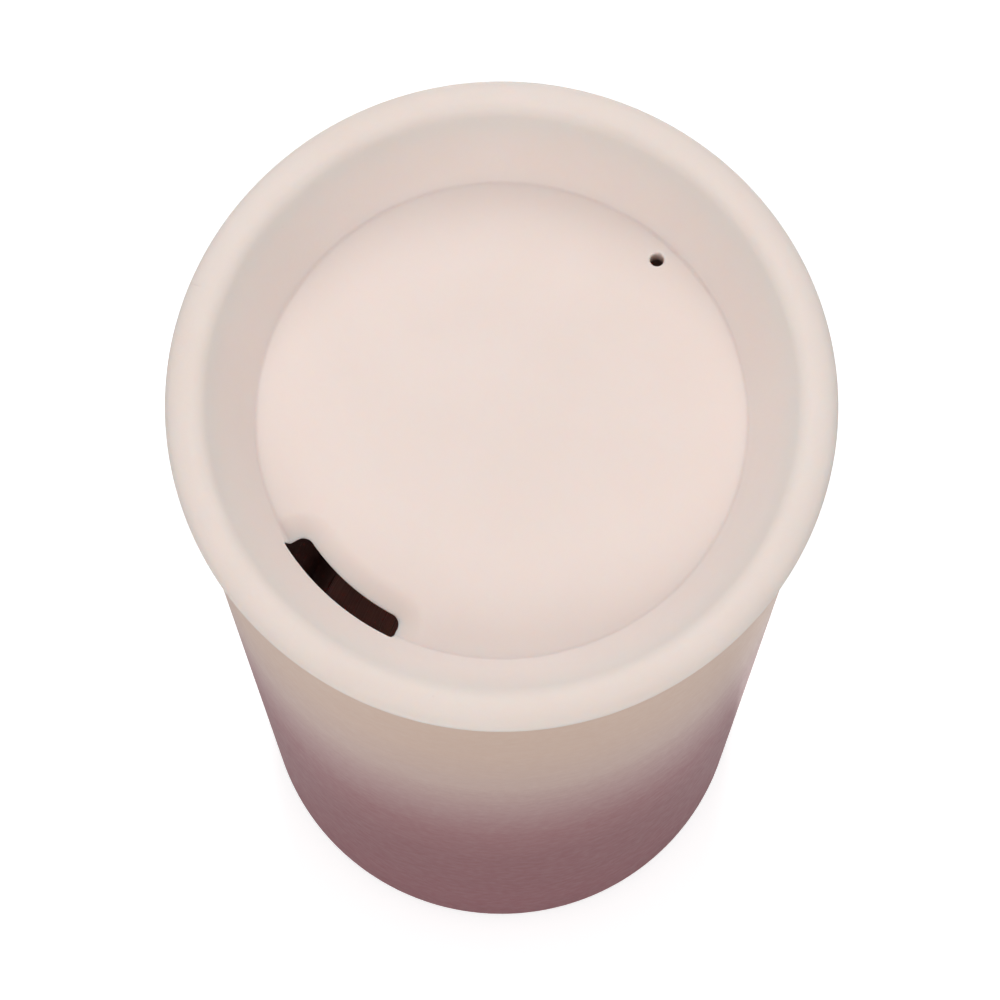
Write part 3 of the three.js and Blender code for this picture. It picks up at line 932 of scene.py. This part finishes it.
def dress_inner_parts():
    """The CAD nodes in the vacuum and above the base cap keep their shape and get finishes."""
    finishes = {
        "copper_foil": crinkled_foil(),
        "outer_bottom": SPUN_STEEL,
        "getter_clip": brushed("clip_steel", (0.6, 0.6, 0.6), 0.25, 0.4, 3000),
        "getter_pill": sintered("getter_powder", (0.09, 0.09, 0.095), (0.17, 0.17, 0.18), 0.6, 0.6),
        "vacuum_seal_bead": sintered("glass_frit", (0.05, 0.055, 0.06), (0.11, 0.12, 0.13), 0.0, 0.2),
    }
    for name, material in finishes.items():
        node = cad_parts[name]
        node.data.materials.clear()
        node.data.materials.append(material)


# ---- studio -----------------------------------------------------------------------------------
def away(azimuth, elevation):
    """The direction from the cup to a camera or a lamp, both in degrees. Azimuth 0 is -Y."""
    a, e = math.radians(azimuth), math.radians(elevation)
    return Vector((math.sin(a) * math.cos(e), -math.cos(a) * math.cos(e), math.sin(e)))


def camera():
    back = away(CAMERA_AZIMUTH, CAMERA_ELEVATION)
    right = away(CAMERA_AZIMUTH + 90, 0)
    up = back.cross(right)
    data = bpy.data.cameras.new("camera")
    data.lens = CAMERA_LENS
    data.sensor_width = 36.0
    obj = bpy.data.objects.new("camera", data)
    crest = Vector((0, 0, cad_high[2]))
    obj.location = crest - up * CAMERA_DROP + right * CAMERA_SIDE + back * CAMERA_DISTANCE
    obj.rotation_mode = "QUATERNION"
    obj.rotation_quaternion = back.to_track_quat("Z", "Y")
    data.clip_start, data.clip_end = 0.01, 50.0
    bpy.context.scene.collection.objects.link(obj)
    bpy.context.scene.camera = obj


def floor():
    bm = bmesh.new()
    corners = ((-1, -1), (1, -1), (1, 1), (-1, 1))
    bm.faces.new([bm.verts.new((x * FLOOR_HALF, y * FLOOR_HALF, 0)) for x, y in corners])
    mesh = bpy.data.meshes.new("floor")
    bm.to_mesh(mesh)
    bm.free()
    mesh.materials.append(studio_floor())
    obj = bpy.data.objects.new("floor", mesh)
    bpy.context.scene.collection.objects.link(obj)
    obj.location.z = -FLOOR_DROP


def sky():
    """A plain white dome, brightest overhead."""
    world = bpy.data.worlds.new("studio")
    world.use_nodes = True
    tree = world.node_tree
    background = tree.nodes["Background"]
    background.inputs["Color"].default_value = (1, 1, 1, 1)
    height = tree.nodes.new("ShaderNodeSeparateXYZ")
    tree.links.new(tree.nodes.new("ShaderNodeTexCoord").outputs["Generated"], height.inputs[0])
    dome = tree.nodes.new("ShaderNodeMapRange")
    dome.interpolation_type = "SMOOTHSTEP"
    dome.inputs["To Min"].default_value = HORIZON_LIGHT
    dome.inputs["To Max"].default_value = ZENITH_LIGHT
    tree.links.new(height.outputs["Z"], dome.inputs["Value"])
    tree.links.new(dome.outputs["Result"], background.inputs["Strength"])
    bpy.context.scene.world = world


def lit_disc(name, size, watts, colour=(1, 1, 1)):
    data = bpy.data.lights.new(name, "AREA")
    data.shape = "DISK"
    data.size = size
    data.energy = watts
    data.color = colour
    obj = bpy.data.objects.new(name, data)
    bpy.context.scene.collection.objects.link(obj)
    return obj


def lamp(name, azimuth, elevation, watts):
    """A soft round lamp aimed at the cup."""
    obj = lit_disc(name, LAMP_SIZE, watts)
    direction = away(azimuth, elevation)
    obj.location = Vector((0, 0, LAMP_AIM)) + direction * LAMP_DISTANCE
    obj.rotation_mode = "QUATERNION"
    obj.rotation_quaternion = direction.to_track_quat("Z", "Y")


def glow(name, place, size, watts, colour, facing_up):
    """A faint lit disc, out of the camera's sight."""
    obj = lit_disc(name, size, watts, colour)
    obj.location = place
    obj.rotation_euler = (math.pi if facing_up else 0, 0, 0)
    obj.visible_camera = False


def lights():
    """Two lamps, light that the table throws back at the foot, and light soaked through the lid."""
    lamp("back", CAMERA_AZIMUTH + 180, 40, 6.7)
    lamp("front", CAMERA_AZIMUTH - 8, 36, 6.1)
    beside_the_foot = away(CAMERA_AZIMUTH + 95, 0) * BOUNCE_OFFSET + Vector((0, 0, BOUNCE_HEIGHT))
    glow("table_bounce", beside_the_foot, BOUNCE_SIZE, BOUNCE_WATTS, (1.0, 0.93, 0.88), True)
    under_the_disc = (0, 0, LID_GLOW_HEIGHT)
    glow("lid_underside", under_the_disc, LID_GLOW_SIZE, LID_GLOW_WATTS, (1.0, 0.45, 0.38), False)


camera()
floor()
sky()
bpy.context.scene.view_settings.view_transform = "Standard"
lights()
make_lid()
make_shell()
make_liner_wall()
make_liner_floor()
make_cap()
make_pad()
dress_inner_parts()
